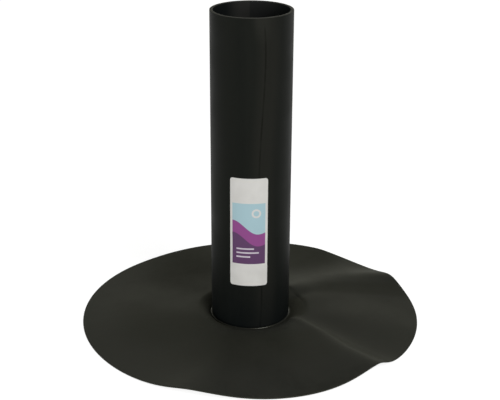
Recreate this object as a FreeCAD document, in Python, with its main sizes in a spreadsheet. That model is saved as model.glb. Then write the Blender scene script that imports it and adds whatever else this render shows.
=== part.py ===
"""Roof drain outlet: a straight drain pipe bonded to a round rubber membrane flange, with a product label.

The outlet stands on its flange with the pipe upwards, upside down to how it is built into a roof.
Units are millimetres. The origin is on the pipe's axis at the flange's underside, and +Z runs up the pipe.
Angles round the axis are measured from +X, so -90 degrees is the front, where the label is.
"""

import FreeCAD
import Part

import math
import os

import Sketcher

V = FreeCAD.Vector
AXIS = V(0, 0, 1)
ORIGIN = V(0, 0, 0)

# Driving dimensions. Each one is a cell of the spreadsheet, with its name as the cell's alias.
SIZES = {
    # drain pipe
    "pipe_diameter": 75.0,
    "pipe_wall": 3.0,
    "pipe_length": 298.8,
    "rim_chamfer": 0.4,
    "foot_bevel": 1.5,
    # membrane flange, the moulded middle
    "membrane_diameter": 325.0,
    "membrane_thickness": 1.2,
    "hole_setback": 0.5,
    "bond_gap": 0.1,
    "lip_wall": 1.0,
    "lip_height": 1.2,
    "lip_chamfer": 0.4,
    "groove_width": 0.7,
    "slope_width": 10.5,
    "crest_rise": 4.8,
    # product label
    "label_width": 35.5,
    "label_height": 107.0,
    "label_thickness": 0.15,
    "label_corner": 2.5,
    "label_above_flange": 45.8,
    "label_turn": -2.7,
    "adhesive_gap": 0.03,
}

# The folds that the loose sheet has taken. A fold's line crosses the rim, the circle half way out and the
# crest at these angles. Its height and its widths, on the sides of smaller and larger angles, are at the rim.
# At the crest it is wider by a factor, and its height grows outwards as a power of the way from there.
FOLDS = {
    "front_right_fold": {
        "rim_angle": -45.7,
        "mid_angle": -44.6,
        "crest_angle": -33.0,
        "height": 9.8,
        "width_before": 8.9,
        "width_after": 4.2,
        "crest_factor": 0.9,
        "growth": 0.8,
    },
    "back_right_fold": {
        "rim_angle": 25.5,
        "mid_angle": 33.4,
        "crest_angle": 36.5,
        "height": 6.6,
        "width_before": 5.6,
        "width_after": 5.0,
        "crest_factor": 3.8,
        "growth": 0.33,
    },
    "front_left_fold": {
        "rim_angle": -107.7,
        "mid_angle": -106.0,
        "crest_angle": -104.0,
        "height": 5.9,
        "width_before": 7.6,
        "width_after": 11.3,
        "crest_factor": 1.0,
        "growth": 2.0,
    },
    "back_fold": {
        "rim_angle": 63.3,
        "mid_angle": 66.0,
        "crest_angle": 68.0,
        "height": 2.6,
        "width_before": 5.3,
        "width_after": 21.0,
        "crest_factor": 1.0,
        "growth": 1.2,
    },
}

# Low swells of the loose sheet, which lie flat at the crest and at the rim. Their height is half way out.
SWELLS = {
    "right_swell": {"angle": -14.0, "height": 4.0, "width": 13.0},
    "front_swell": {"angle": -66.0, "height": 4.2, "width": 15.0},
    "back_swell": {"angle": 106.0, "height": 2.0, "width": 10.0},
    "left_swell": {"angle": -166.0, "height": 2.0, "width": 17.0},
}

# Stretches of the shoulder round the pipe's foot where its crest stands further out or higher than elsewhere,
# and where the sheet falls more steeply outside it.
SHOULDERS = {
    "right_shoulder": {"angle": -5.0, "outwards": 4.0, "upwards": 0.0, "steeper": 0.0, "width": 30.0},
    "left_shoulder": {"angle": -172.0, "outwards": 0.8, "upwards": 2.2, "steeper": 0.0, "width": 32.0},
    "back_right_shoulder": {"angle": 47.0, "outwards": 0.0, "upwards": 3.4, "steeper": 1.5, "width": 13.0},
    "back_right_dip": {"angle": 27.0, "outwards": 0.0, "upwards": -2.0, "steeper": 0.0, "width": 6.0},
    "front_right_knuckle": {"angle": -32.0, "outwards": 0.0, "upwards": 1.2, "steeper": 0.0, "width": 4.5},
}

# Stretches of the rim that were cut a little short.
SHORT_CUTS = {
    "back_right_cut": {"angle": 42.6, "depth": 4.0, "width": 11.5},
    "back_left_cut": {"angle": 131.0, "depth": 2.3, "width": 13.0},
}

# The net of the flange's surfaces: columns round the axis, and strips that run straight from row to row.
COLUMN_COUNT = 180
SLOPE_STRIPS = 5
SHEET_STRIPS = 8
# The sheet's rows stand closer together near the crest, where it bends most: as this power of even shares.
SHEET_SPACING = 1.35
SPLINE_DEGREE = 3
# The first column stands before +X by one step, because a closed cubic starts by its second point.
COLUMNS = [360 * (index - 1) / COLUMN_COUNT for index in range(COLUMN_COUNT)]
# A fold draws the columns on both sides along with its line, less and less over this many degrees.
FOLD_DRAW = 15.0
# The sheet falls from the crest to the rim, steeply at first, as this power of the way that is left.
SHEET_FALL = 2.4
SEW_TOLERANCE = 1e-3


def add_sheet(doc):
    """The spreadsheet that holds the driving dimensions."""
    sheet = doc.addObject("Spreadsheet::Sheet", "Sizes")
    cells = dict(SIZES)
    for group in (FOLDS, SWELLS, SHOULDERS, SHORT_CUTS):
        for feature, values in group.items():
            cells.update({f"{feature}_{name}": value for name, value in values.items()})
    for row, (name, value) in enumerate(cells.items(), start=1):
        sheet.set(f"A{row}", name)
        sheet.set(f"B{row}", str(value))
        sheet.setAlias(f"B{row}", name)
    doc.recompute()
    return sheet


def origin_plane(body, role):
    """One of a body's own origin planes, by its role."""
    return next(item for item in body.Origin.OriginFeatures if item.Role == role)


def add_sketch(body, name, role):
    """An empty sketch on one of a body's origin planes."""
    sketch = body.newObject("Sketcher::SketchObject", name)
    sketch.AttachmentSupport = [(origin_plane(body, role), "")]
    sketch.MapMode = "FlatFace"
    return sketch


def constrain(sketch, name, expression, *what):
    """A named constraint of a sketch, bound to an expression of the spreadsheet's cells."""
    index = sketch.addConstraint(Sketcher.Constraint(*what))
    sketch.renameConstraint(index, name)
    sketch.setExpression(f"Constraints.{name}", expression)


def edge_names(shape, test):
    """The names of a shape's edges that pass a test."""
    return [f"Edge{i}" for i, edge in enumerate(shape.Edges, start=1) if test(edge)]


def add_edge_feature(body, kind, name, base, test, expression):
    """A chamfer or fillet on a feature's edges that pass a test, with its size bound to an expression."""
    feature = body.newObject(kind, name)
    feature.Base = (base, edge_names(base.Shape, test))
    feature.setExpression("Radius" if kind.endswith("Fillet") else "Size", expression)
    body.Document.recompute()
    return feature


def is_circle_at(height, radius):
    """A test for the circular edges at a height, and of a radius if one is given."""

    def test(edge):
        if not isinstance(edge.Curve, Part.Circle) or abs(edge.Curve.Center.z - height) > 1e-6:
            return False
        return radius is None or abs(edge.Curve.Radius - radius) < 1e-6

    return test


def add_pipe(doc, size):
    """The extruded drain pipe: cut square, its rim deburred, its foot bevelled where the flange grips it."""
    body = doc.addObject("PartDesign::Body", "OutletPipe")
    body.Label = "outlet_pipe"
    section = add_sketch(body, "PipeSection", "XY_Plane")
    outer_radius = size("pipe_diameter") / 2
    bore_radius = outer_radius - size("pipe_wall")
    for name, radius, expression in (
        ("outer_diameter", outer_radius, "Sizes.pipe_diameter"),
        ("bore_diameter", bore_radius, "Sizes.pipe_diameter - 2 * Sizes.pipe_wall"),
    ):
        circle = section.addGeometry(Part.Circle(ORIGIN, AXIS, radius), False)
        section.addConstraint(Sketcher.Constraint("Coincident", circle, 3, -1, 1))
        constrain(section, name, expression, "Diameter", circle, 2 * radius)
    pad = body.newObject("PartDesign::Pad", "PipeRun")
    pad.Profile = section
    pad.setExpression("Length", "Sizes.pipe_length")
    doc.recompute()
    rim = is_circle_at(size("pipe_length"), None)
    deburred = add_edge_feature(body, "PartDesign::Chamfer", "RimDeburr", pad, rim, "Sizes.rim_chamfer")
    foot = is_circle_at(0, outer_radius)
    add_edge_feature(body, "PartDesign::Chamfer", "FootBevel", deburred, foot, "Sizes.foot_bevel")
    body.setExpression("Placement.Base.z", "Sizes.membrane_thickness")
    return body


def lip_outer_of(size):
    """The outer radius of the lip round the pipe's foot, where the groove begins."""
    return size("pipe_diameter") / 2 + size("lip_wall")


def groove_end_of(size):
    """Where the groove ends and the slope begins."""
    return lip_outer_of(size) + size("groove_width")


def crest_of(size):
    """Where the slope ends at the crest and the loose sheet begins."""
    return groove_end_of(size) + size("slope_width")


def hole_of(size):
    """The radius of the water's hole through the flange."""
    return size("pipe_diameter") / 2 - size("pipe_wall") + size("hole_setback")


def lip_profile(size):
    """The lip, the seat and the hole as an open profile, from the groove's floor to the underside.

    The lip stands against the bevel of the pipe's foot, and the pipe's end stands on the seat inside it.
    """
    thickness = size("membrane_thickness")
    lip_outer = lip_outer_of(size)
    lip_top = thickness + size("lip_height")
    chamfer = size("lip_chamfer")
    bevel_foot = size("pipe_diameter") / 2 - size("foot_bevel") + size("bond_gap")
    places = (
        (lip_outer, thickness),
        (lip_outer, lip_top - chamfer),
        (lip_outer - chamfer, lip_top),
        (bevel_foot + size("lip_height"), lip_top),
        (bevel_foot, thickness),
        (hole_of(size), thickness),
        (hole_of(size), 0),
    )
    return Part.makePolygon([V(radius, 0, height) for radius, height in places])


def bump(angle, centre, width_before, width_after):
    """A smooth ridge of height 1 at centre, falling away on its two sides; all in degrees."""
    away = (angle - centre + 180) % 360 - 180
    return 1 / math.cosh(away / (width_before if away < 0 else width_after))


def fold_line(size, fold, share):
    """The angle of a fold's line at a share of the way from the crest to the rim."""
    return (
        size(f"{fold}_rim_angle") * share * (2 * share - 1)
        + size(f"{fold}_mid_angle") * 4 * share * (1 - share)
        + size(f"{fold}_crest_angle") * (1 - share) * (1 - 2 * share)
    )


def column_angles(size, share):
    """Where the net's columns lie at a share of the way out: they follow the folds' lines inwards."""
    angles = list(COLUMNS)
    for fold in FOLDS:
        rim_angle = size(f"{fold}_rim_angle")
        shift = fold_line(size, fold, share) - rim_angle
        for index, column in enumerate(COLUMNS):
            angles[index] += shift * bump(column, rim_angle, FOLD_DRAW, FOLD_DRAW)
    return angles


def crest_places(size):
    """The crest on each column of the net: its radius, its rise above the sheet's flat, and the fall's power."""
    places = []
    for angle in column_angles(size, 0):
        radius, rise, fall = crest_of(size), size("crest_rise"), SHEET_FALL
        for shoulder in SHOULDERS:
            width = size(f"{shoulder}_width")
            near = bump(angle, size(f"{shoulder}_angle"), width, width)
            radius += size(f"{shoulder}_outwards") * near
            rise += size(f"{shoulder}_upwards") * near
            fall += size(f"{shoulder}_steeper") * near
        places.append((radius, rise, fall))
    return places


def rim_radius(size, angle):
    """How far out the sheet's rim is at an angle."""
    radius = size("membrane_diameter") / 2
    for cut in SHORT_CUTS:
        width = size(f"{cut}_width")
        radius -= size(f"{cut}_depth") * bump(angle, size(f"{cut}_angle"), width, width)
    return radius


def fold_height(size, share, column):
    """How much the folds and swells lift the loose sheet on a column of the net."""
    height = 0
    for fold in FOLDS:
        factor = size(f"{fold}_crest_factor")
        wider = factor + (1 - factor) * share
        widths = size(f"{fold}_width_before") * wider, size(f"{fold}_width_after") * wider
        rise = size(f"{fold}_height") * share ** size(f"{fold}_growth")
        height += rise * bump(column, size(f"{fold}_rim_angle"), *widths)
    for swell in SWELLS:
        rise = size(f"{swell}_height") * 4 * share * (1 - share)
        width = size(f"{swell}_width")
        height += rise * bump(column, size(f"{swell}_angle"), width, width)
    return height


def closed_row(angles, radii, heights):
    """One closed row of control points, widened so that the closed cubic runs at the radii asked for."""
    row = []
    for index, angle in enumerate(angles):
        following = angles[(index + 1) % len(angles)]
        step = math.radians((following - angles[index - 1]) % 360) / 2
        reach = radii[index] * 3 / (2 + math.cos(step))
        turn = math.radians(angle)
        row.append(V(reach * math.cos(turn), reach * math.sin(turn), heights[index]))
    return row


def slope_rows(size, drop):
    """The rows of the slope from the groove up to the crest, where it runs level.

    The underside, a drop below, starts further out, so that the flange keeps its thickness on the slope.
    """
    start = groove_end_of(size)
    rows = []
    for index in range(SLOPE_STRIPS + 1):
        share = index / SLOPE_STRIPS
        radii, heights = [], []
        for crest_radius, crest_rise, _ in crest_places(size):
            run = crest_radius - start
            # The slope starts twice as steep as it is on the whole.
            outwards = drop * math.tan(math.atan2(2 * crest_rise, run) / 2)
            radii.append(start + run * share + outwards * (1 - share))
            heights.append(size("membrane_thickness") - drop + crest_rise * share * (2 - share))
        rows.append(closed_row(column_angles(size, 0), radii, heights))
    return rows


def sheet_rows(size, drop):
    """The rows of the loose sheet outside the crest, out to the rim, a drop below its upper side."""
    level = size("membrane_thickness") - drop
    rows = []
    for index in range(1, SHEET_STRIPS + 1):
        share = (index / SHEET_STRIPS) ** SHEET_SPACING
        angles = column_angles(size, share)
        radii, heights = [], []
        for column, angle, (crest_radius, crest_rise, fall) in zip(COLUMNS, angles, crest_places(size)):
            radii.append(crest_radius + share * (rim_radius(size, angle) - crest_radius))
            height = crest_rise * (1 - share) ** fall
            heights.append(level + height + fold_height(size, share, column))
        rows.append(closed_row(angles, radii, heights))
    return rows


def strip(first_row, second_row):
    """A surface straight from one closed row to another, and smooth round the axis."""
    knots_round = [index / COLUMN_COUNT for index in range(COLUMN_COUNT + 1)]
    mults_round = [1] * (COLUMN_COUNT + 1)
    surface = Part.BSplineSurface()
    surface.buildFromPolesMultsKnots(
        [first_row, second_row], [2, 2], mults_round, [0, 1], knots_round, False, True, 1, SPLINE_DEGREE
    )
    return surface


def strips(rows):
    """The strips between rows that follow one another."""
    return [strip(first, second) for first, second in zip(rows, rows[1:])]


def flat_ring(slope, radius):
    """The level face between a slope's inner edge and a circle inside it."""
    outer = slope.uIso(0).toShape()
    centre = V(0, 0, outer.Vertexes[0].Z)
    inner = Part.makeCircle(radius, centre, AXIS)
    return Part.makeFace([Part.Wire(outer), Part.Wire(inner)], "Part::FaceMakerBullseye")


def add_membrane(doc, size):
    """The rubber flange in one piece: lip, seat and groove round the pipe's foot, and the folded sheet."""
    lip = lip_profile(size).revolve(ORIGIN, AXIS, 360)
    top_rows, under_rows = (
        slope_rows(size, drop) + sheet_rows(size, drop) for drop in (0, size("membrane_thickness"))
    )
    top, under = strips(top_rows), strips(under_rows)
    rim = strip(top_rows[-1], under_rows[-1])
    faces = [
        *lip.Faces,
        flat_ring(top[0], lip_outer_of(size)),
        flat_ring(under[0], hole_of(size)),
        *(surface.toShape() for surface in [*top, *under, rim]),
    ]
    skin = Part.Compound(faces)
    skin.sewShape(SEW_TOLERANCE)
    solid = Part.Solid(skin.Shells[0])
    if solid.Volume < 0:
        solid.reverse()
    membrane = doc.addObject("Part::Feature", "MembraneFlange")
    membrane.Label = "membrane_flange"
    membrane.Shape = solid
    membrane.Placement = FreeCAD.Placement()
    return membrane


def add_label(doc, size):
    """The self-adhesive label, wrapped part of the way round the pipe, with rounded corners."""
    body = doc.addObject("PartDesign::Body", "ProductLabel")
    body.Label = "product_label"
    inner_expression = "Sizes.pipe_diameter / 2 + Sizes.adhesive_gap"
    inner = size("pipe_diameter") / 2 + size("adhesive_gap")
    outer = inner + size("label_thickness")
    half = size("label_width") / inner / 2
    front = -math.pi / 2
    section = add_sketch(body, "LabelStrip", "XY_Plane")
    arcs = []
    for name, radius, expression in (
        ("inner_radius", inner, inner_expression),
        ("outer_radius", outer, f"{inner_expression} + Sizes.label_thickness"),
    ):
        circle = Part.Circle(ORIGIN, AXIS, radius)
        arc = section.addGeometry(Part.ArcOfCircle(circle, front - half, front + half), False)
        section.addConstraint(Sketcher.Constraint("Coincident", arc, 3, -1, 1))
        constrain(section, name, expression, "Radius", arc, radius)
        arcs.append(arc)
    for turn, end in ((front - half, 1), (front + half, 2)):
        way = V(math.cos(turn), math.sin(turn), 0)
        cut = section.addGeometry(Part.LineSegment(way * inner, way * outer), False)
        section.addConstraint(Sketcher.Constraint("Coincident", cut, 1, arcs[0], end))
        section.addConstraint(Sketcher.Constraint("Coincident", cut, 2, arcs[1], end))
        section.addConstraint(Sketcher.Constraint("PointOnObject", -1, 1, cut))
    section.addConstraint(Sketcher.Constraint("Symmetric", arcs[0], 1, arcs[0], 2, -2))
    width = f"2 * ({inner_expression}) * sin(Sizes.label_width / ({inner_expression}) / 2 * 180 / pi)"
    chord = 2 * inner * math.sin(half)
    constrain(section, "chord", width, "Distance", arcs[0], 1, arcs[0], 2, chord)
    pad = body.newObject("PartDesign::Pad", "LabelSheet")
    pad.Profile = section
    pad.setExpression("Length", "Sizes.label_height")
    doc.recompute()

    def is_corner(edge):
        """The short edges through the label's thickness, at its four corners."""
        return abs(edge.Length - size("label_thickness")) < 1e-6

    add_edge_feature(body, "PartDesign::Fillet", "RoundCorners", pad, is_corner, "Sizes.label_corner")
    body.setExpression("Placement.Base.z", "Sizes.membrane_thickness + Sizes.label_above_flange")
    body.setExpression("Placement.Rotation.Angle", "Sizes.label_turn")
    return body


def check(doc, pieces):
    """Stops the build if any object failed or any piece isn't one valid solid."""
    for item in doc.Objects:
        if {"Invalid", "Error"} & set(item.State):
            raise RuntimeError(f"{item.Label} failed: {item.State}")
    for piece in pieces:
        if piece.Shape.isNull() or not piece.Shape.isValid() or len(piece.Shape.Solids) != 1:
            raise RuntimeError(f"{piece.Label} isn't one valid solid")


def main():
    doc = FreeCAD.newDocument("RoofDrainOutlet")
    sheet = add_sheet(doc)

    def size(name):
        """A driving dimension, read from its cell."""
        return float(getattr(sheet, name))

    pieces = [add_pipe(doc, size), add_membrane(doc, size), add_label(doc, size)]
    doc.recompute()
    check(doc, pieces)
    os.makedirs("parts", exist_ok=True)
    for piece in pieces:
        piece.Shape.exportStep(f"parts/{piece.Label}.step")
        print(f"{piece.Label}: {piece.Shape.Volume / 1000:.2f} cm3, {len(piece.Shape.Faces)} faces")


main()
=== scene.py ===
"""Roof drain outlet: a black drain pipe standing in a round rubber membrane flange, with a printed label.

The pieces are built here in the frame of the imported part: +Z runs up the pipe, -Y is the front with the label.
Sizes are given in millimetres and degrees, and become metres where a mesh is made. Colours are linear red,
green and blue.
"""

import math

import bpy
from mathutils import Matrix, Vector


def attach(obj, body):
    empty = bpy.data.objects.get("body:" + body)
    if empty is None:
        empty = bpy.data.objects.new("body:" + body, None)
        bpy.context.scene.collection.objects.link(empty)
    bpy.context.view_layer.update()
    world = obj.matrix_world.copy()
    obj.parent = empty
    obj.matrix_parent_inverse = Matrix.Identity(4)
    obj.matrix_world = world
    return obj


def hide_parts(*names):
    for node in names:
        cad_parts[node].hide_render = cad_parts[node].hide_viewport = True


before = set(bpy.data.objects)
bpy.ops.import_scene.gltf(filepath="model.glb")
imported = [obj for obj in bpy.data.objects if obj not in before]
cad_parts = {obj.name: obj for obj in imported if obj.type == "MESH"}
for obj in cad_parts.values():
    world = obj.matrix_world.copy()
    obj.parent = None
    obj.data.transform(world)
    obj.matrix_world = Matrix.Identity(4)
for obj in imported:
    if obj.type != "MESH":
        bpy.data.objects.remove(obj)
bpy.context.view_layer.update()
MM = 0.001
# Faces that meet at more than this many degrees show a sharp edge.
CORNER_ANGLE = 35.0
# Steps round each rounded corner of a profile.
ROUND_STEPS = 6

# The camera, as found from the photo: its place, its turns in radians and its focal length in pixels.
IMAGE_WIDTH = 500
CAMERA_PLACE = (0.0, -971.929, 511.374)
CAMERA_PITCH = 0.3841885
CAMERA_YAW = -0.0007475
CAMERA_ROLL = 0.0047963
CAMERA_FOCAL = 1112.683
SENSOR_WIDTH = 36.0

# Soft lights: name, place and size in metres, power in watts, and colour. They point at LIGHT_AIM.
LIGHTS = (
    ("backdrop_light", (0.05, 2.2, 0.5), (2.8, 1.0), 7.5, (1, 1, 0.86)),
    ("left_light", (-1.94, -0.9, 0.63), (1.4, 0.7), 13.5, (1, 1, 1)),
    ("front_light", (0.0, -2.57, 0.51), (2.4, 0.6), 14.5, (1, 1, 1)),
    ("key_light", (1.2, -1.56, 1.64), (1.2, 1.2), 36.5, (1, 1, 1)),
)
LIGHT_AIM = (0, 0, 0.1)
WORLD_COLOUR = (1, 1, 0.94)
WORLD_STRENGTH = 0.13

# Floor: how far it reaches, its height, its colour as it lights the object, and its colour and glow as it is seen.
FLOOR_REACH = 60000.0
FLOOR_HEIGHT = -0.3
FLOOR_COLOUR = (0.3, 0.3, 0.3)
FLOOR_SHOWN = (0.4, 0.4, 0.4)
FLOOR_GLOW = 0.86

# Drain pipe
PIPE_RADIUS = 37.5
BORE_RADIUS = 34.5
PIPE_FOOT = 1.2
PIPE_TOP = 300.0
FOOT_BEVEL = 1.5
RIM_ROUND = 0.45
PIPE_SEGMENTS = 256
# Rows of points this far from the foot and the rim keep the shading of the walls even.
FOOT_LOOP = 1.0
RIM_LOOP = 2 * RIM_ROUND

# The pipe's colours
PIPE_DARK = (0.0050, 0.0061, 0.0060)
PIPE_PALE = (0.0066, 0.0077, 0.0071)
PIPE_LINES = (0.0076, 0.0087, 0.0079)
# Painted light: a sheen band beside the streak, and a highlight under the rim.
PIPE_PAINTED_SHEEN = (0.0140, 0.0144, 0.0126)
PIPE_PAINTED_HIGHLIGHT = (0.0190, 0.0195, 0.0170)
PIPE_STREAK = (0.0015, 0.0015, 0.0015)
# Painted shade on the pipe towards its foot.
PIPE_PAINTED_FOOT_SHADE = (0.0026, 0.0041, 0.0054)
BORE_DARK = (0.0062, 0.0076, 0.0082)
# Painted light in the bore: a paler side and a lit band.
BORE_PAINTED_PALE_SIDE = (0.0135, 0.0143, 0.0148)
BORE_PAINTED_LIT_BAND = (0.0225, 0.0228, 0.0218)
PIPE_END = (0.042, 0.0425, 0.038)
# The drawn lines are this much stretched along the pipe.
DRAWN_SCALE = (1, 1, 0.015)
# The streak along the pipe: its distance round from the front, as factors of falling powers of height / 100.
STREAK_LINE = (-2.3523, 13.8543, -24.2964, 12.2466, 8.9423)
STREAK_HEIGHT = 100.0
# Its breaks follow noise that is this much stretched across the pipe.
STREAK_BREAKS = (0.2, 0.2, 1)
# Marks beside the streak: the middle's distance from it, half the width that is full, half the whole width, and
# the share of the mark's colour.
STREAK_MARK = (0.0, 0.2, 1.2, 1.0)
# The sheen band and the highlight beside the streak are painted light.
SHEEN_MARK = (4.0, 4.0, 15.0, 0.85)
HIGHLIGHT_MARK = (-1.5, 2.0, 11.0, 1.0)
# Smooth steps along the pipe: the two heights, and the share at each.
STREAK_END = (PIPE_TOP - 12.0, PIPE_TOP - 5.0, 1.0, 0.0)
# The painted highlight under the rim grows between these heights.
HIGHLIGHT_START = (PIPE_TOP - 26.0, PIPE_TOP - 5.0, 0.0, 0.75)
# Painted shade darkens the pipe from its foot up to the second height.
FOOT_SHADE_END = (PIPE_FOOT, 60.0, 0.5, 0.0)
SAWN_START = (PIPE_TOP - 0.35, PIPE_TOP - 0.1, 0.0, 1.0)
# Smooth steps round the bore, in degrees from the back: painted paler light right of it and a painted lit band
# left.
PAINTED_SIDE_STEPS = ((-3.53, -2.38, 0.0, 1.0), (8.11, 59.68, 1.0, 0.0))
PAINTED_BAND_STEPS = ((-3.53, -2.38, 1.0, 0.0), (-45.35, -16.71, 0.0, 1.0))
# The bore's own colour is full up to the first distance from the axis, and gone at the second.
BORE_STEP = (BORE_RADIUS + 0.2, BORE_RADIUS + 0.6, 1.0, 0.0)

# Membrane flange
RIM_RADIUS = 162.5
THICKNESS = 1.2
HOLE_RADIUS = 35.0
BEVEL_FOOT = 36.1
LIP_OUTER = 38.5
LIP_HEIGHT = 1.2
LIP_ROUND = 0.45
SLOPE_START = 39.2
CREST_RADIUS = 49.7
CREST_RISE = 4.8
SHEET_FALL = 2.4
FOLD_DRAW = 15.0
EDGE_ROUND = 0.3
EDGE_STEPS = 6
COLUMN_COUNT = 400
SLOPE_ROWS = 16
SHEET_ROWS = 60
UNDER_SLOPE_ROWS = 8
UNDER_SHEET_ROWS = 30

# The sheet's folds: angles of the fold's line at the rim, half way out and at the crest, the height at the rim,
# the widths there on the sides of smaller and larger angles, how many times as wide it is at the crest, and how
# its height grows outwards.
FOLDS = (
    (-45.7, -44.6, -33.0, 9.8, 8.9, 4.2, 0.9, 0.8),
    (25.5, 33.4, 36.5, 6.6, 5.6, 5.0, 3.8, 0.33),
    (-107.7, -106.0, -104.0, 5.9, 7.6, 11.3, 1.0, 2.0),
    (63.3, 66.0, 68.0, 2.6, 5.3, 21.0, 1.0, 1.2),
)
# Low swells of the sheet, highest half way out: angle, height and width.
SWELLS = (
    (-14.0, 4.0, 13.0),
    (-66.0, 4.2, 15.0),
    (106.0, 2.0, 10.0),
    (-166.0, 2.0, 17.0),
)
# Stretches of the shoulder round the pipe's foot: angle, how much wider, higher and steeper outside it is there,
# and width.
SHOULDERS = (
    (-5.0, 4.0, 0.0, 0.0, 30.0),
    (27.0, 0.0, -2.0, 0.0, 6.0),
    (47.0, 0.0, 3.4, 1.5, 13.0),
    (-172.0, 0.8, 2.2, 0.0, 32.0),
    (-32.0, 0.0, 1.2, 0.0, 4.5),
)
# Stretches of the rim that were cut a little short: angle, depth and width.
SHORT_CUTS = ((42.6, 4.0, 11.5), (131.0, 2.3, 13.0))

# The rubber's colours
RUBBER_DARK = (0.0074, 0.0077, 0.0087)
RUBBER_PALE = (0.0118, 0.0120, 0.0129)
RUBBER_MOTTLE = (0.0152, 0.0154, 0.0154)
# Painted light, then painted shade, for stretches of the sheet.
RUBBER_PAINTED_LIGHT = (0.0200, 0.0202, 0.0196)
RUBBER_PAINTED_SHADE = (0.0062, 0.0064, 0.0058)
RUBBER_LIP = (0.012, 0.0122, 0.0112)
# The sheet's rolling lines are this much stretched from front to back.
ROLLED_SCALE = (1, 0.02, 1)
# Straight lines on the sheet: factor of x and a length, which added to y give the distance before or behind it.
BACK_LINE = (-0.25, 0.0)
LEFT_LINE = (0.446, 20.3)
RIGHT_LINE = (0.0, -41.0)
SWELL_LINE = (0.74, -92.0)
# The line of the first fold as its painted shade and light show it: two distances from the axis, and the angle at
# each. The painted shade on the fold's top and the painted highlight on its flank lie this many degrees past it.
FOLD_MARK = (40.0, 125.0, -33.0, -45.4)
FOLD_TOP = 4.5
FOLD_FLANK = 0.5
# Stretches of painted shade, and then of painted light, on the rubber. Each is a product of smooth steps: the
# value that it follows, as sheet_values names it, two of its values, and the share at each.
FOLD_START = ("away", 55.0, 75.0, 0.0, 1.0)
LEFT_SIDE = (("away", 100.0, 150.0, 0.48, 0.0), ("x", -50.0, 0.0, 1.0, 0.0), ("y", -100.0, -50.0, 0.0, 1.0))
PAINTED_SHADE_STRETCHES = (
    # Behind the pipe
    (("back", 60.0, 100.0, 0.0, 0.6), ("x", 75.0, 110.0, 1.0, 0.0), ("x", -130.0, -70.0, 0.0, 1.0)),
    # Left of the pipe, on both sides of a line with less painted shade
    (*LEFT_SIDE, ("left", -35.0, -8.0, 0.9, 0.4)),
    (*LEFT_SIDE, ("left", 12.0, 45.0, 0.4, 1.0)),
    # In front of the pipe
    (("y", -130.0, -80.0, 0.0, 0.39), ("y", -60.0, -40.0, 1.0, 0.0), ("off_x", 40.0, 90.0, 1.0, 0.0)),
    # The left and the right of the shoulder
    (("away", 46.0, 56.0, 0.6, 0.0), ("x", -30.0, 0.0, 1.0, 0.0)),
    (("away", 50.0, 60.0, 0.8, 0.0), ("x", 30.0, 40.0, 0.0, 1.0), ("off_y", 14.0, 26.0, 1.0, 0.0)),
    # The top of the first fold
    (FOLD_START, ("fold_top", 0.8, 3.5, 0.25, 0.0)),
    # The hollow on the right
    (("right", 6.0, 17.0, 0.35, 0.0), ("x", 60.0, 80.0, 0.0, 1.0)),
)
# Stretches of painted light: a broader highlight on the first fold's flank, and a paler swell at the back right.
PAINTED_LIGHT_STRETCHES = (
    # The flank of the first fold
    (FOLD_START, ("fold_flank", 0.5, 4.5, 0.4, 0.0)),
    # The swell at the back right
    (("swell", 4.0, 24.0, 0.45, 0.0), ("x", 85.0, 115.0, 0.0, 1.0)),
)
# The smoother rubber of the lip, by the distance from the axis and by the height.
LIP_SIDE = (LIP_OUTER + 0.1, LIP_OUTER + 0.3, 1.0, 0.0)
LIP_START = (THICKNESS + 0.6, THICKNESS + 0.9, 0.0, 1.0)

# Label
LABEL_INNER = 37.53
LABEL_OUTER = 37.68
LABEL_WIDTH = 35.5
LABEL_BOTTOM = 47.0
LABEL_HEIGHT = 107.0
LABEL_CORNER = 2.5
LABEL_TURN = -2.7
LABEL_COLUMNS = 72
LABEL_ROWS = 4
LABEL_CORNER_STEPS = 10

# The label's print: places across from its middle and up from its lower edge. The ink's edges are PRINT_EDGE soft.
PAPER_DARK = (0.715, 0.705, 0.675)
PAPER_PALE = (0.775, 0.765, 0.735)
PRINT_EDGE = 0.12
PANEL_SIDE = 15.5
PANEL_LOW = 22.5
PANEL_HIGH = 82.7
PANEL_COLOUR = (0.43, 0.62, 0.68)
# Waved fields in the panel: the height of the upper edge, and the colour. The edge is WAVE_EDGE soft, waves by
# WAVE_HEIGHT, turns WAVE_TURN radians a millimetre from WAVE_START on, and tilts by WAVE_SLOPE.
WAVES = ((58.1, (0.30, 0.075, 0.27)), (46.1, (0.115, 0.050, 0.130)))
WAVE_EDGE = 0.3
WAVE_HEIGHT = 4.0
WAVE_TURN = 0.16
WAVE_START = 0.5
WAVE_SLOPE = 0.25
RING_PLACE = (7.0, 73.0)
RING_RADII = (2.6, 4.4)
RING_COLOUR = (0.74, 0.74, 0.72)
# Short bars: the lower edge, the left end and the right end.
BARS = ((37.0, -11.5, 5.0), (33.0, -11.5, 9.5), (29.0, -11.5, 1.5))
BAR_HEIGHT = 1.5
BAR_COLOUR = (0.66, 0.60, 0.68)


def make_piece(name, points, faces):
    """A mesh from points in millimetres, shaded smooth except at its corners."""
    mesh = bpy.data.meshes.new(name)
    mesh.from_pydata([[value * MM for value in point] for point in points], [], faces)
    mesh.validate()
    mesh.shade_smooth()
    mesh.set_sharp_from_angle(angle=math.radians(CORNER_ANGLE))
    piece = bpy.data.objects.new(name, mesh)
    bpy.context.scene.collection.objects.link(piece)
    return piece


def make_ring(name, sections):
    """A piece closed round the axis, lofted through closed sections of equally many points."""
    count, length = len(sections), len(sections[0])
    points = [point for section in sections for point in section]
    faces = []
    for i in range(count):
        here, there = i * length, (i + 1) % count * length
        for j in range(length):
            k = (j + 1) % length
            faces.append((here + j, there + j, there + k, here + k))
    return make_piece(name, points, faces)


def shares(count):
    """Even shares from 0 to 1, both included."""
    return [index / count for index in range(count + 1)]


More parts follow.
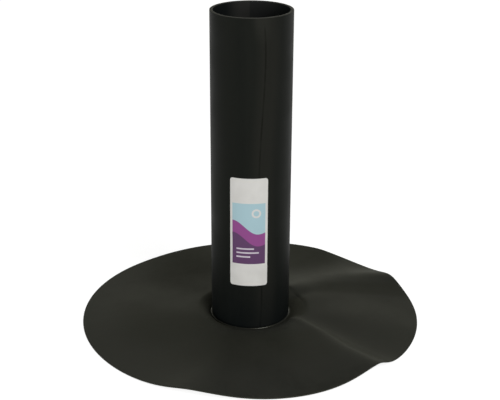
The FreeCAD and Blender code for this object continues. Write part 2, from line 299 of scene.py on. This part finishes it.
def rounded(corners):
    """A closed outline in the plane, with each corner (x, y, radius) rounded by its radius."""
    outline = []
    for index, (x, y, radius) in enumerate(corners):
        corner = Vector((x, y))
        if radius == 0:
            outline.append((x, y))
            continue
        before = (Vector(corners[index - 1][:2]) - corner).normalized()
        after = (Vector(corners[(index + 1) % len(corners)][:2]) - corner).normalized()
        half = before.angle(after) / 2
        reach = radius / math.tan(half)
        centre = corner + (before + after).normalized() * radius / math.sin(half)
        start, end = corner + before * reach - centre, corner + after * reach - centre
        turn = start.angle_signed(end)
        for share in shares(ROUND_STEPS):
            angle = -turn * share
            way = Vector((
                start.x * math.cos(angle) - start.y * math.sin(angle),
                start.x * math.sin(angle) + start.y * math.cos(angle),
            ))
            outline.append(tuple(centre + way))
    return outline


def turned(radius, height, angle):
    """The point at a radius, a height and an angle in degrees round the axis."""
    turn = math.radians(angle)
    return (radius * math.cos(turn), radius * math.sin(turn), height)


def make_pipe():
    """The extruded pipe, with its bevelled foot and its rim's edges a little rounded."""
    profile = rounded([
        (BORE_RADIUS, PIPE_FOOT, 0),
        (PIPE_RADIUS - FOOT_BEVEL, PIPE_FOOT, 0),
        (PIPE_RADIUS, PIPE_FOOT + FOOT_BEVEL, 0),
        (PIPE_RADIUS, PIPE_FOOT + FOOT_BEVEL + FOOT_LOOP, 0),
        (PIPE_RADIUS, PIPE_TOP / 2, 0),
        (PIPE_RADIUS, PIPE_TOP - RIM_LOOP, 0),
        (PIPE_RADIUS, PIPE_TOP, RIM_ROUND),
        (BORE_RADIUS, PIPE_TOP, RIM_ROUND),
        (BORE_RADIUS, PIPE_TOP - RIM_LOOP, 0),
        (BORE_RADIUS, PIPE_TOP / 2, 0),
        (BORE_RADIUS, PIPE_FOOT + FOOT_LOOP, 0),
    ])
    sections = [
        [turned(radius, height, 360 * index / PIPE_SEGMENTS) for radius, height in profile]
        for index in range(PIPE_SEGMENTS)
    ]
    return make_ring("drain_pipe", sections)


def bump(angle, centre, width_before, width_after):
    """A smooth ridge of height 1 at centre, falling away on its two sides; all in degrees."""
    away = (angle - centre + 180) % 360 - 180
    return 1 / math.cosh(away / (width_before if away < 0 else width_after))


def fold_line(fold, share):
    """The angle of a fold's line at a share of the way from the crest to the rim."""
    rim, middle, crest = fold[:3]
    return (
        rim * share * (2 * share - 1)
        + middle * 4 * share * (1 - share)
        + crest * (1 - share) * (1 - 2 * share)
    )


def column_angle(column, share):
    """Where a column of the sheet lies at a share of the way out: it follows the folds' lines inwards."""
    angle = column
    for fold in FOLDS:
        angle += (fold_line(fold, share) - fold[0]) * bump(column, fold[0], FOLD_DRAW, FOLD_DRAW)
    return angle


def crest_place(column):
    """The crest's radius on a column, its rise above the flat of the sheet, and the power of the fall outside."""
    angle = column_angle(column, 0)
    radius, rise, fall = CREST_RADIUS, CREST_RISE, SHEET_FALL
    for centre, wider, higher, steeper, width in SHOULDERS:
        near = bump(angle, centre, width, width)
        radius += wider * near
        rise += higher * near
        fall += steeper * near
    return radius, rise, fall


def sheet_place(column, share):
    """The radius, height and angle of the sheet's upper side on a column, at a share of the way out."""
    angle = column_angle(column, share)
    rim_radius = RIM_RADIUS
    for centre, depth, width in SHORT_CUTS:
        rim_radius -= depth * bump(angle, centre, width, width)
    crest_radius, crest_rise, fall = crest_place(column)
    radius = crest_radius + share * (rim_radius - crest_radius)
    height = THICKNESS + crest_rise * (1 - share) ** fall
    for rim, _, _, rise, before, after, spread, growth in FOLDS:
        wide = spread + (1 - spread) * share
        height += rise * share**growth * bump(column, rim, before * wide, after * wide)
    for centre, rise, width in SWELLS:
        height += rise * 4 * share * (1 - share) * bump(column, centre, width, width)
    return radius, height, angle


def slope_place(column, share, drop):
    """A point on the slope from the groove to the crest, a drop below its upper side."""
    crest_radius, crest_rise, _ = crest_place(column)
    run = crest_radius - SLOPE_START
    outwards = drop * math.tan(math.atan2(2 * crest_rise, run) / 2)
    radius = SLOPE_START + run * share + outwards * (1 - share)
    return radius, THICKNESS - drop + crest_rise * share * (2 - share), column_angle(column, 0)


def make_membrane():
    """The rubber flange: hole, seat, lip and groove round the pipe's foot, the slope and the folded sheet."""
    lip_top = THICKNESS + LIP_HEIGHT
    hub = rounded([
        (HOLE_RADIUS, 0, 0),
        (HOLE_RADIUS, THICKNESS, 0),
        (BEVEL_FOOT, THICKNESS, 0),
        (BEVEL_FOOT + LIP_HEIGHT, lip_top, 0),
        (LIP_OUTER, lip_top, LIP_ROUND),
        (LIP_OUTER, THICKNESS, 0),
    ])
    sections = []
    for index in range(COLUMN_COUNT):
        column = 360 * index / COLUMN_COUNT
        foot_angle = column_angle(column, 0)
        section = [turned(radius, height, foot_angle) for radius, height in hub]
        section += [turned(*slope_place(column, share, 0)) for share in shares(SLOPE_ROWS)]
        section += [turned(*sheet_place(column, share)) for share in shares(SHEET_ROWS)[1:-1]]
        radius, height, angle = sheet_place(column, 1)
        for share in shares(EDGE_STEPS):
            turn = math.pi * share
            outer = radius - EDGE_ROUND + EDGE_ROUND * math.sin(turn)
            section.append(turned(outer, height - THICKNESS / 2 * (1 - math.cos(turn)), angle))
        for share in reversed(shares(UNDER_SHEET_ROWS)[1:-1]):
            radius, height, angle = sheet_place(column, share)
            section.append(turned(radius, height - THICKNESS, angle))
        for share in reversed(shares(UNDER_SLOPE_ROWS)):
            section.append(turned(*slope_place(column, share, THICKNESS)))
        sections.append(section)
    return make_ring("membrane_sheet", sections)


def make_label():
    """The label: a thin curved patch on the pipe's front, with rounded corners."""
    half = LABEL_WIDTH / 2
    inner = half - LABEL_CORNER
    columns = []
    for step in range(LABEL_CORNER_STEPS):
        columns.append(-half + LABEL_CORNER * (1 - math.cos(math.pi / 2 * step / LABEL_CORNER_STEPS)))
    columns += [-inner + 2 * inner * share for share in shares(LABEL_COLUMNS)]
    columns += [-place for place in reversed(columns[:LABEL_CORNER_STEPS])]
    points, faces = [], []
    for place in columns:
        past = max(abs(place) - inner, 0)
        inset = LABEL_CORNER - math.sqrt(max(LABEL_CORNER**2 - past**2, 0))
        angle = -90 + LABEL_TURN + math.degrees(place / LABEL_INNER)
        for radius in (LABEL_INNER, LABEL_OUTER):
            for share in shares(LABEL_ROWS):
                height = LABEL_BOTTOM + inset + (LABEL_HEIGHT - 2 * inset) * share
                points.append(turned(radius, height, angle))
    # Each column has a row of inner points, and then a row of outer ones.
    row = LABEL_ROWS + 1
    starts = [2 * row * index for index in range(len(columns))]
    for here, there in zip(starts, starts[1:]):
        for j in range(LABEL_ROWS):
            faces.append((here + row + j, there + row + j, there + row + j + 1, here + row + j + 1))
            faces.append((here + j, here + j + 1, there + j + 1, there + j))
        faces.append((here, there, there + row, here + row))
        top_here, top_there = here + LABEL_ROWS, there + LABEL_ROWS
        faces.append((top_here, top_here + row, top_there + row, top_there))
    last = starts[-1]
    for j in range(LABEL_ROWS):
        faces.append((j, row + j, row + j + 1, j + 1))
        faces.append((last + j, last + j + 1, last + row + j + 1, last + row + j))
    return make_piece("pipe_label", points, faces)


class Shader:
    """A material's node tree, with short ways to add its nodes."""

    def __init__(self, name):
        self.material = bpy.data.materials.new(name)
        self.material.use_nodes = True
        self.nodes = self.material.node_tree.nodes
        self.links = self.material.node_tree.links
        self.surface = self.nodes["Principled BSDF"]

    def put(self, socket, value):
        """Sets a socket to a number, a vector or a colour, or links another socket to it."""
        if isinstance(value, bpy.types.NodeSocket):
            self.links.new(value, socket)
        elif socket.type == "RGBA":
            socket.default_value = (*value, 1)
        else:
            socket.default_value = value

    def add(self, kind, inputs=(), **settings):
        """A node with settings, and inputs given by index or name."""
        node = self.nodes.new(kind)
        for name, value in settings.items():
            setattr(node, name, value)
        for key, value in dict(inputs).items():
            self.put(node.inputs[key], value)
        return node

    def math(self, operation, *values):
        """The result of an operation on one, two or three values."""
        node = self.add("ShaderNodeMath", dict(enumerate(values)), operation=operation)
        return node.outputs[0]

    def product(self, first, *others):
        """All the values multiplied together."""
        for other in others:
            first = self.math("MULTIPLY", first, other)
        return first

    def most(self, first, *others):
        """The largest of the values."""
        for other in others:
            first = self.math("MAXIMUM", first, other)
        return first

    def distance(self, across, up):
        """The length of the way that goes this far across and this far up."""
        return self.math("SQRT", self.math("ADD", self.math("POWER", across, 2.0), self.math("POWER", up, 2.0)))

    def step(self, value, low, high, low_to=0.0, high_to=1.0):
        """A smooth step from low_to to high_to as value goes from low to high."""
        node = self.add(
            "ShaderNodeMapRange",
            {"Value": value, "From Min": low, "From Max": high, "To Min": low_to, "To Max": high_to},
            interpolation_type="SMOOTHSTEP",
        )
        return node.outputs[0]

    def near(self, value, centre, full, whole, share):
        """A share where value is within full of a centre, falling smoothly to 0 at the distance whole."""
        return self.step(self.math("ABSOLUTE", self.math("SUBTRACT", value, centre)), full, whole, share, 0.0)

    def inside(self, value, low, high, soft):
        """1 where a value is between two others, with soft ends."""
        start = self.step(value, low - soft, low + soft)
        return self.product(start, self.step(value, high - soft, high + soft, 1.0, 0.0))

    def mix(self, share, first, second):
        """A colour between two others."""
        node = self.add("ShaderNodeMix", {"Factor": share, 6: first, 7: second}, data_type="RGBA")
        return node.outputs[2]

    def place(self, scale=(1, 1, 1)):
        """The point on the surface in metres, stretched by a scale."""
        coordinate = self.add("ShaderNodeTexCoord").outputs["Object"]
        return self.add("ShaderNodeMapping", {"Vector": coordinate, "Scale": scale}).outputs[0]

    def point(self):
        """The point on the surface in millimetres: x, y and z."""
        return tuple(self.add("ShaderNodeSeparateXYZ", {0: self.place((1 / MM, 1 / MM, 1 / MM))}).outputs)

    def arc(self, x, y, radius):
        """The distance round the pipe at a radius, from its front towards +X."""
        return self.math("MULTIPLY", self.math("ARCTAN2", x, self.math("MULTIPLY", y, -1.0)), radius)

    def noise(self, scale, detail, stretch=(1, 1, 1)):
        """Soft noise from 0 to 1, of a scale in waves per metre, after a stretch of space."""
        node = self.add("ShaderNodeTexNoise", {"Vector": self.place(stretch), "Scale": scale, "Detail": detail})
        return node.outputs[0]

    def relief(self, height, strength, distance):
        """A bump of the surface from a height, which joins any bump that is there already."""
        node = self.add("ShaderNodeBump", {"Strength": strength, "Distance": distance, "Height": height})
        there = self.surface.inputs["Normal"]
        if there.is_linked:
            self.links.new(there.links[0].from_socket, node.inputs["Normal"])
        self.links.new(node.outputs[0], there)

    def finish(self, **values):
        """Sets the surface shader's inputs; their names are written with underscores."""
        for name, value in values.items():
            self.put(self.surface.inputs[name.replace("_", " ").title().replace("Ior", "IOR")], value)
        return self.material


def pipe_material():
    """Black extruded plastic: satin, with faint lines along the pipe and one long drawn streak.

    A painted sheen band and a painted highlight under the rim lie beside the streak.
    The foot has painted shade, the bore a painted lit band and a painted paler side, and the sawn end is paler.
    """
    shader = Shader("black_pipe_plastic")
    lines = shader.noise(scale=700.0, detail=4.0, stretch=DRAWN_SCALE)
    broad = shader.noise(scale=90.0, detail=2.0, stretch=DRAWN_SCALE)
    cloud = shader.noise(scale=45.0, detail=5.0)
    speck = shader.noise(scale=2600.0, detail=2.0)
    x, y, height = shader.point()
    line = STREAK_LINE[0]
    for factor in STREAK_LINE[1:]:
        line = shader.math("MULTIPLY_ADD", line, shader.math("MULTIPLY", height, 1 / STREAK_HEIGHT), factor)
    past = shader.math("SUBTRACT", shader.arc(x, y, PIPE_RADIUS), line)
    broken = shader.noise(scale=60.0, detail=2.0, stretch=STREAK_BREAKS)
    streak = shader.product(
        shader.near(past, *STREAK_MARK),
        shader.step(broken, 0.35, 0.6, low_to=0.38, high_to=0.68),
        shader.step(height, *STREAK_END),
    )
    painted_highlight = shader.product(shader.near(past, *HIGHLIGHT_MARK), shader.step(height, *HIGHLIGHT_START))

    outside = shader.mix(shader.step(cloud, 0.3, 0.7), PIPE_DARK, PIPE_PALE)
    outside = shader.mix(shader.step(broad, 0.35, 0.65, high_to=0.5), outside, PIPE_LINES)
    # A painted sheen band and a painted highlight under the rim, beside the streak.
    outside = shader.mix(shader.near(past, *SHEEN_MARK), outside, PIPE_PAINTED_SHEEN)
    outside = shader.mix(painted_highlight, outside, PIPE_PAINTED_HIGHLIGHT)
    outside = shader.mix(streak, outside, PIPE_STREAK)
    # Painted shade darkens the pipe towards its foot.
    outside = shader.mix(shader.step(height, *FOOT_SHADE_END), outside, PIPE_PAINTED_FOOT_SHADE)

    # Painted light in the bore: a paler right side and a lit band on the left.
    from_back = shader.math("DEGREES", shader.math("ARCTAN2", x, y))
    painted_side, painted_light = (
        shader.product(*(shader.step(from_back, *ends) for ends in steps)) for steps in (PAINTED_SIDE_STEPS, PAINTED_BAND_STEPS)
    )
    bore = shader.mix(painted_light, shader.mix(painted_side, BORE_DARK, BORE_PAINTED_PALE_SIDE), BORE_PAINTED_LIT_BAND)
    colour = shader.mix(shader.step(shader.distance(x, y), *BORE_STEP), outside, bore)
    colour = shader.mix(shader.step(height, *SAWN_START), colour, PIPE_END)

    smooth = shader.step(cloud, 0.3, 0.7, low_to=0.46, high_to=0.53)
    shader.relief(lines, strength=0.12, distance=0.0002)
    shader.relief(speck, strength=0.10, distance=0.0001)
    shader.relief(streak, strength=-0.25, distance=0.0004)
    return shader.finish(
        base_color=colour,
        roughness=shader.math("MULTIPLY_ADD", lines, 0.08, smooth),
        specular_ior_level=0.08,
        specular_tint=(1, 1, 0.75),
    )


def sheet_values(shader, x, y):
    """The values that the stretches of the sheet follow, by name: millimetres, and degrees from the first fold."""

    def behind(line):
        """How far behind a line the point is, measured along Y."""
        factor, length = line
        return shader.math("MULTIPLY_ADD", x, factor, shader.math("ADD", y, length))

    away = shader.distance(x, y)
    turn = shader.math("DEGREES", shader.math("ARCTAN2", y, x))
    past = shader.math("SUBTRACT", turn, shader.step(away, *FOLD_MARK))
    return {
        "x": x,
        "y": y,
        "away": away,
        "off_x": shader.math("ABSOLUTE", x),
        "off_y": shader.math("ABSOLUTE", y),
        "back": behind(BACK_LINE),
        "left": behind(LEFT_LINE),
        "right": shader.math("ABSOLUTE", behind(RIGHT_LINE)),
        "swell": shader.math("ABSOLUTE", behind(SWELL_LINE)),
        "fold_top": shader.math("ABSOLUTE", shader.math("SUBTRACT", past, FOLD_TOP)),
        "fold_flank": shader.math("ABSOLUTE", shader.math("SUBTRACT", past, FOLD_FLANK)),
    }


def rubber_material():
    """Black rubber sheet: matt, with a fine even grain and faint rolling lines.

    Dust lies on it in broad clouds, painted shade darkens some stretches and painted light brightens others.
    The lip is smoother.
    """
    shader = Shader("black_sheet_rubber")
    cloud = shader.noise(scale=24.0, detail=4.0)
    mottle = shader.noise(scale=160.0, detail=4.0)
    grain = shader.noise(scale=2200.0, detail=2.0)
    rolled = shader.noise(scale=420.0, detail=3.0, stretch=ROLLED_SCALE)
    x, y, height = shader.point()
    values = sheet_values(shader, x, y)
    painted_shade, painted_light = (
        shader.most(*(
            shader.product(*(shader.step(values[name], *ends) for name, *ends in stretch)) for stretch in stretches
        ))
        for stretches in (PAINTED_SHADE_STRETCHES, PAINTED_LIGHT_STRETCHES)
    )
    lip = shader.product(shader.step(values["away"], *LIP_SIDE), shader.step(height, *LIP_START))

    colour = shader.mix(shader.step(cloud, 0.36, 0.64), RUBBER_DARK, RUBBER_PALE)
    colour = shader.mix(shader.step(mottle, 0.35, 0.7, high_to=0.5), colour, RUBBER_MOTTLE)
    # Painted light on some stretches of the sheet, and painted shade on others.
    colour = shader.mix(painted_light, colour, RUBBER_PAINTED_LIGHT)
    colour = shader.mix(painted_shade, colour, RUBBER_PAINTED_SHADE)
    colour = shader.mix(lip, colour, RUBBER_LIP)

    rough = shader.step(cloud, 0.3, 0.7, low_to=0.57, high_to=0.64)
    for mask, rougher in ((mottle, 0.1), (painted_shade, 0.2), (lip, -0.25)):
        rough = shader.math("MULTIPLY_ADD", mask, rougher, rough)
    shader.relief(grain, strength=0.3, distance=0.0001)
    shader.relief(rolled, strength=0.08, distance=0.0002)
    return shader.finish(
        base_color=colour,
        roughness=rough,
        specular_ior_level=0.52,
        specular_tint=(0.98, 1, 0.68),
        coat_weight=lip,
        coat_roughness=0.2,
    )


def label_material():
    """Coated paper, printed with plain fields of colour, a ring and short bars."""
    shader = Shader("printed_label_paper")
    fibre = shader.noise(scale=900.0, detail=3.0)
    tone = shader.noise(scale=60.0, detail=3.0)
    x, y, height = shader.point()
    across = shader.math("SUBTRACT", shader.arc(x, y, LABEL_OUTER), math.radians(LABEL_TURN) * LABEL_OUTER)
    up = shader.math("SUBTRACT", height, LABEL_BOTTOM)

    def field(left, right, low, high):
        """1 in a rectangle of the print."""
        return shader.product(
            shader.inside(across, left, right, PRINT_EDGE), shader.inside(up, low, high, PRINT_EDGE)
        )

    colour = shader.mix(shader.step(tone, 0.3, 0.7), PAPER_DARK, PAPER_PALE)
    panel = field(-PANEL_SIDE, PANEL_SIDE, PANEL_LOW, PANEL_HIGH)
    colour = shader.mix(panel, colour, PANEL_COLOUR)
    wave = shader.math("SINE", shader.math("MULTIPLY_ADD", across, WAVE_TURN, WAVE_START))
    slope = shader.math("MULTIPLY", across, -WAVE_SLOPE)
    rise = shader.math("SUBTRACT", up, shader.math("MULTIPLY_ADD", wave, -WAVE_HEIGHT, slope))
    for top, ink in WAVES:
        below = shader.step(rise, top, top + WAVE_EDGE, 1.0, 0.0)
        colour = shader.mix(shader.product(panel, below), colour, ink)
    off = [shader.math("SUBTRACT", value, centre) for value, centre in zip((across, up), RING_PLACE)]
    colour = shader.mix(shader.inside(shader.distance(*off), *RING_RADII, PRINT_EDGE), colour, RING_COLOUR)
    for low, left, right in BARS:
        colour = shader.mix(field(left, right, low, low + BAR_HEIGHT), colour, BAR_COLOUR)

    shader.relief(fibre, strength=0.06, distance=0.0001)
    rough = shader.math("MULTIPLY_ADD", tone, 0.1, 0.4)
    return shader.finish(base_color=colour, roughness=rough, specular_ior_level=0.3)


def floor_material():
    """White floor: it shows nearly white where it is lit, and keeps the object's soft shadow."""
    shader = Shader("white_floor")
    shader.finish(base_color=FLOOR_COLOUR, roughness=0.9, specular_ior_level=0.0)
    dim = shader.add("ShaderNodeBsdfDiffuse", {"Color": FLOOR_SHOWN})
    glow = shader.add("ShaderNodeEmission", {"Color": (1, 1, 1), "Strength": FLOOR_GLOW})
    shown = shader.add("ShaderNodeAddShader", {0: dim.outputs[0], 1: glow.outputs[0]})
    rays = shader.add("ShaderNodeLightPath").outputs
    seen = shader.most(rays["Is Camera Ray"], rays["Is Glossy Ray"], rays["Is Transmission Ray"])
    either = shader.add("ShaderNodeMixShader", {0: seen, 1: shader.surface.outputs[0], 2: shown.outputs[0]})
    shader.put(shader.nodes["Material Output"].inputs["Surface"], either.outputs[0])
    return shader.material


def make_floor():
    """A wide plain floor just under the object."""
    corners = ((-1, -1), (1, -1), (1, 1), (-1, 1))
    points = [(x * FLOOR_REACH, y * FLOOR_REACH, FLOOR_HEIGHT) for x, y in corners]
    floor = make_piece("floor", points, [(0, 1, 2, 3)])
    floor.data.materials.append(floor_material())


def make_camera():
    """The camera at the photo's viewpoint."""
    ahead = Vector((
        math.sin(CAMERA_YAW) * math.cos(CAMERA_PITCH),
        math.cos(CAMERA_YAW) * math.cos(CAMERA_PITCH),
        -math.sin(CAMERA_PITCH),
    ))
    right = Vector((math.cos(CAMERA_YAW), -math.sin(CAMERA_YAW), 0))
    up = right.cross(ahead)
    across = right * math.cos(CAMERA_ROLL) + up * math.sin(CAMERA_ROLL)
    above = up * math.cos(CAMERA_ROLL) - right * math.sin(CAMERA_ROLL)
    data = bpy.data.cameras.new("camera")
    data.sensor_fit = "HORIZONTAL"
    data.sensor_width = SENSOR_WIDTH
    data.lens = CAMERA_FOCAL * SENSOR_WIDTH / IMAGE_WIDTH
    camera = bpy.data.objects.new("camera", data)
    bpy.context.scene.collection.objects.link(camera)
    turn = Matrix((across, above, -ahead)).transposed().to_4x4()
    camera.matrix_world = Matrix.Translation(Vector(CAMERA_PLACE) * MM) @ turn
    bpy.context.scene.camera = camera


def add_light(name, place, size, power, colour):
    """A soft light of a width and height and a colour, aimed at the middle of the object."""
    data = bpy.data.lights.new(name, "AREA")
    data.shape = "RECTANGLE"
    data.size, data.size_y = size
    data.energy = power
    data.color = colour
    light = bpy.data.objects.new(name, data)
    bpy.context.scene.collection.objects.link(light)
    light.location = place
    light.rotation_euler = (Vector(LIGHT_AIM) - Vector(place)).to_track_quat("-Z", "Y").to_euler()


def set_light():
    """Dim even surroundings, a wide light behind, and soft lights from the left, the front and the upper right."""
    world = bpy.data.worlds.new("studio")
    world.use_nodes = True
    background = world.node_tree.nodes["Background"]
    background.inputs["Color"].default_value = (*WORLD_COLOUR, 1)
    background.inputs["Strength"].default_value = WORLD_STRENGTH
    bpy.context.scene.world = world
    for light in LIGHTS:
        add_light(*light)


make_camera()
make_floor()
set_light()
for piece, node, slot, material in (
    (make_pipe(), "outlet_pipe", "pipe", pipe_material()),
    (make_membrane(), "membrane_flange", "membrane", rubber_material()),
    (make_label(), "product_label", "label", label_material()),
):
    piece.data.materials.append(material)
    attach(piece, "root")
    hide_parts(node)

bpy.context.scene.view_settings.view_transform = "Standard"
